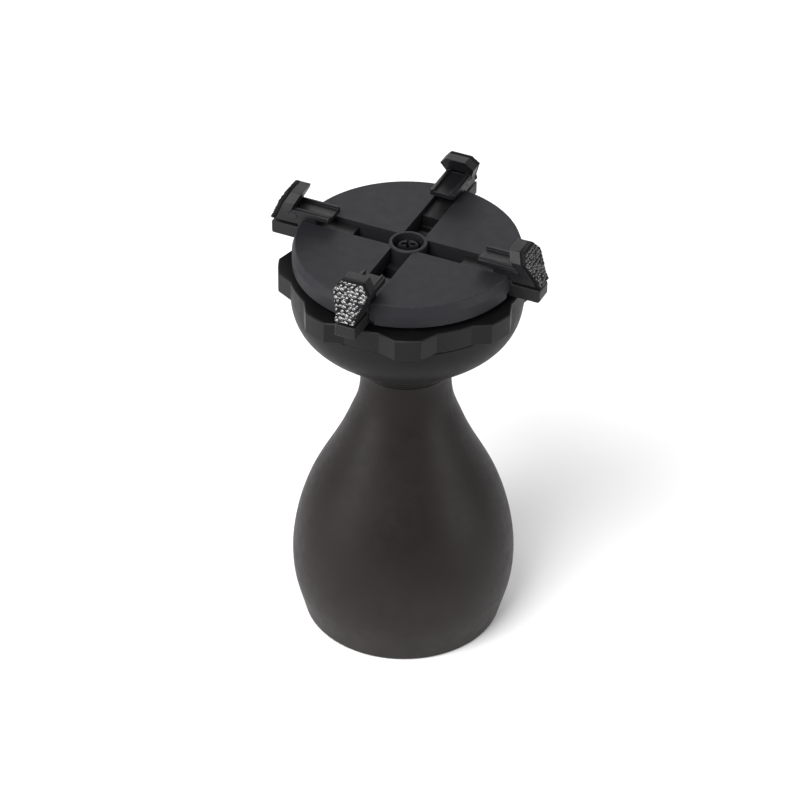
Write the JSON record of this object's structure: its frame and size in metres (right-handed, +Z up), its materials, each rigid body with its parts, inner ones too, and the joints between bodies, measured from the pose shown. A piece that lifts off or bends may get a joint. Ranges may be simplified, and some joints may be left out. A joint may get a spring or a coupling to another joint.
{
  "type": "self-centring work holding handle",
  "caption": "Pear-shaped hand grip with a flat round head whose radial jaws close together on a small workpiece when the lugged ring below the head is turned.",
  "frame": {"origin": "centre of the foot, on the surface the handle stands on", "axes": "+Z up along the grip axis; the jaws slide along +X, +Y, -X and -Y"},
  "size_m": [0.0768, 0.0768, 0.1261],
  "materials": {
    "grip_plastic": "matte moulded",
    "bowl_plastic": "matte moulded",
    "disc_plastic": "fine spark-eroded matte",
    "ring_plastic": "satin moulded",
    "jaw_plastic": "satin moulded",
    "slider_plastic": "satin moulded",
    "scroll_plastic": "satin moulded",
    "cover_plastic": "matte moulded",
    "pad_rubber": "studded, slightly glossy",
    "foot_rubber": "matte",
    "bushing_plastic": "smooth black acetal",
    "brass": "turned",
    "steel": "bright zinc",
    "black_screw": "glossy black oxide",
    "ballast": "pressed and oiled"
  },
  "bodies": {
    "handle": {"grip_shell": "grip_plastic", "base_cover": "cover_plastic", "foot_ring": "foot_rubber", "ballast_weight": "ballast", "base_screws": "steel", "neck_bolt": "steel", "neck_washer": "steel", "neck_insert": "brass", "head_bowl": "bowl_plastic", "thrust_washer": "bushing_plastic", "centre_insert": "brass", "guide_disc": "disc_plastic", "centre_screw": "black_screw", "centre_washer": "steel"},
    "ring": {"adjusting_ring": "ring_plastic", "scroll_plate": "scroll_plastic", "hub_bushing": "bushing_plastic", "ring_screws": "steel"},
    "jaw_1": {"jaw_slider_1": "slider_plastic", "jaw_head_1": "jaw_plastic", "grip_pad_1": "pad_rubber", "jaw_screw_1": "steel"},
    "jaw_2": {"jaw_slider_2": "slider_plastic", "jaw_head_2": "jaw_plastic", "grip_pad_2": "pad_rubber", "jaw_screw_2": "steel"},
    "jaw_3": {"jaw_slider_3": "slider_plastic", "jaw_head_3": "jaw_plastic", "grip_pad_3": "pad_rubber", "jaw_screw_3": "steel"},
    "jaw_4": {"jaw_slider_4": "slider_plastic", "jaw_head_4": "jaw_plastic", "grip_pad_4": "pad_rubber", "jaw_screw_4": "steel"}
  },
  "joints": [
    {"name": "ring_turn", "type": "hinge", "parent": "handle", "child": "ring", "pos_m": [0, 0, 0.1074], "axis": [0, 0, 1], "range_deg": [-315, 738]},
    {"name": "jaw_1_slide", "type": "slide", "parent": "handle", "child": "jaw_1", "axis": [1, 0, 0], "range_m": [-0.00821, 0.0035]},
    {"name": "jaw_2_slide", "type": "slide", "parent": "handle", "child": "jaw_2", "axis": [0, 1, 0], "range_m": [-0.00821, 0.0035]},
    {"name": "jaw_3_slide", "type": "slide", "parent": "handle", "child": "jaw_3", "axis": [-1, 0, 0], "range_m": [-0.00821, 0.0035]},
    {"name": "jaw_4_slide", "type": "slide", "parent": "handle", "child": "jaw_4", "axis": [0, -1, 0], "range_m": [-0.00821, 0.0035]}
  ],
  "couplings": [
    {"joint": "jaw_1_slide", "follows": "ring_turn", "m_per_rad": -0.00063662},
    {"joint": "jaw_2_slide", "follows": "ring_turn", "m_per_rad": -0.00063662},
    {"joint": "jaw_3_slide", "follows": "ring_turn", "m_per_rad": -0.00063662},
    {"joint": "jaw_4_slide", "follows": "ring_turn", "m_per_rad": -0.00063662}
  ]
}
